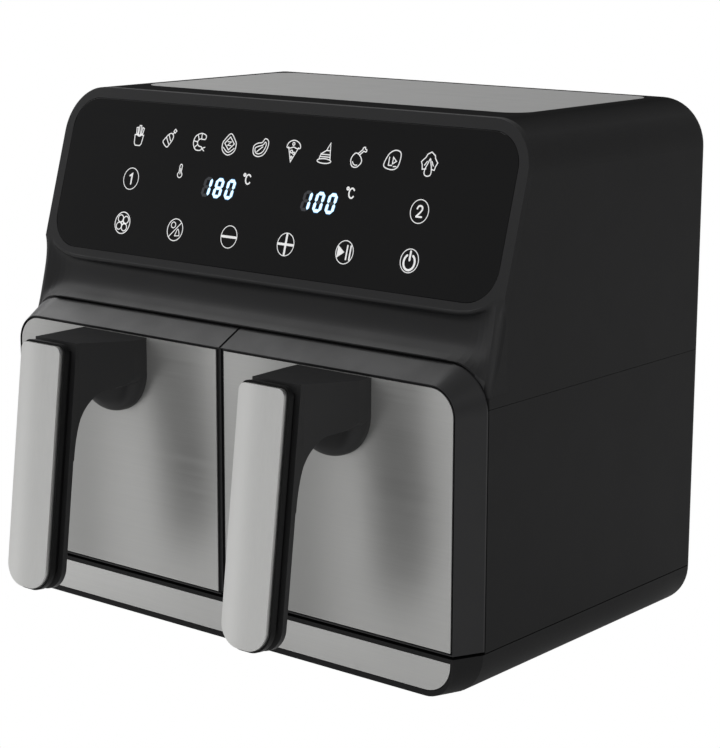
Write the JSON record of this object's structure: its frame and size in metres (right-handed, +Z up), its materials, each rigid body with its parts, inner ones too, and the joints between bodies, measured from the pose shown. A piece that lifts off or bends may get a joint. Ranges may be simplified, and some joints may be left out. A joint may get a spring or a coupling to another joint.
{
  "type": "dual-drawer air fryer",
  "caption": "Countertop air fryer with side-by-side drawers, slanted touch panel, pull handles, crisper plates and a heater and fan above each cavity.",
  "frame": {"origin": "middle of the overall footprint, on the surface the feet stand on", "axes": "+X to the right seen from the front, -Y towards the user (the handles point to -Y), +Z up"},
  "size_m": [0.38, 0.3402, 0.3405],
  "materials": {
    "housing_black": "fine satin grain",
    "fascia_black": "satin",
    "panel_glass": "gloss",
    "brushed_steel": "horizontal brush",
    "bright_steel": "fine satin brush",
    "door_black": "semi-gloss",
    "handle_black": "satin",
    "foot_rubber": "matt",
    "frame_black": "matt",
    "liner_metal": "rolled",
    "heater_metal": "oxidised sheath",
    "guard_wire": "drawn wire",
    "fan_alloy": "pressed sheet",
    "shaft_steel": "turned",
    "fan_plastic": "moulded",
    "motor_metal": "laminated and zinc plated",
    "board_green": "solder mask",
    "display_plastic": "moulded",
    "ribbon_grey": "flexible",
    "switch_plastic": "moulded",
    "pan_coating": "non-stick coating",
    "silicone": "matt"
  },
  "bodies": {
    "housing": {"base_tray": "housing_black", "side_panel_left": "housing_black", "side_panel_right": "housing_black", "rear_panel": "housing_black", "upper_housing": "housing_black", "exhaust_grilles": "housing_black", "rear_spacers": "housing_black", "cord_gland": "housing_black", "front_fascia": "fascia_black", "glass_panel": "panel_glass", "base_trim": "brushed_steel", "top_plate": "brushed_steel", "rubber_feet": "foot_rubber", "front_frame": "frame_black", "cavity_liner_left": "liner_metal", "cavity_liner_right": "liner_metal", "motor_brackets": "liner_metal", "heater_left": "heater_metal", "heater_right": "heater_metal", "heater_guard_left": "guard_wire", "heater_guard_right": "guard_wire", "temp_sensors": "guard_wire", "base_screws": "shaft_steel", "rear_screws": "shaft_steel", "motor_left": "motor_metal", "motor_right": "motor_metal", "touch_board": "board_green", "power_board": "board_green", "display_modules": "display_plastic", "ribbon_cable": "ribbon_grey", "drawer_switch_left": "switch_plastic", "drawer_switch_right": "switch_plastic"},
    "drawer_left": {"door_frame_left": "door_black", "door_skin_left": "brushed_steel", "door_back_left": "door_black", "pan_left": "pan_coating", "handle_body_left": "handle_black", "handle_shell_left": "handle_black", "handle_facing_left": "bright_steel", "handle_screws_left": "shaft_steel"},
    "crisper_left": {"crisper_plate_left": "pan_coating", "plate_bumpers_left": "silicone"},
    "fan_left": {"hot_fan_left": "fan_alloy", "fan_shaft_left": "shaft_steel", "cooling_fan_left": "fan_plastic"},
    "plunger_left": {"switch_plunger_left": "switch_plastic"},
    "drawer_right": {"door_frame_right": "door_black", "door_skin_right": "brushed_steel", "door_back_right": "door_black", "pan_right": "pan_coating", "handle_body_right": "handle_black", "handle_shell_right": "handle_black", "handle_facing_right": "bright_steel", "handle_screws_right": "shaft_steel"},
    "crisper_right": {"crisper_plate_right": "pan_coating", "plate_bumpers_right": "silicone"},
    "fan_right": {"hot_fan_right": "fan_alloy", "fan_shaft_right": "shaft_steel", "cooling_fan_right": "fan_plastic"},
    "plunger_right": {"switch_plunger_right": "switch_plastic"}
  },
  "joints": [
    {"name": "drawer_left_slide", "type": "slide", "parent": "housing", "child": "drawer_left", "axis": [0, -1, 0], "range_m": [0, 0.26]},
    {"name": "crisper_left_lift", "type": "slide", "parent": "drawer_left", "child": "crisper_left", "axis": [0, 0, 1], "range_m": [0, 0.105]},
    {"name": "fan_left_spin", "type": "hinge", "parent": "housing", "child": "fan_left", "pos_m": [-0.0955, 0.04406, 0.25], "axis": [0, 0, 1], "continuous": true},
    {"name": "plunger_left_press", "type": "slide", "parent": "housing", "child": "plunger_left", "axis": [0, 1, 0], "range_m": [0, 0.0015], "stiffness_N_per_m": 300},
    {"name": "drawer_right_slide", "type": "slide", "parent": "housing", "child": "drawer_right", "axis": [0, -1, 0], "range_m": [0, 0.26]},
    {"name": "crisper_right_lift", "type": "slide", "parent": "drawer_right", "child": "crisper_right", "axis": [0, 0, 1], "range_m": [0, 0.105]},
    {"name": "fan_right_spin", "type": "hinge", "parent": "housing", "child": "fan_right", "pos_m": [0.0955, 0.04406, 0.25], "axis": [0, 0, 1], "continuous": true},
    {"name": "plunger_right_press", "type": "slide", "parent": "housing", "child": "plunger_right", "axis": [0, 1, 0], "range_m": [0, 0.0015], "stiffness_N_per_m": 300}
  ]
}
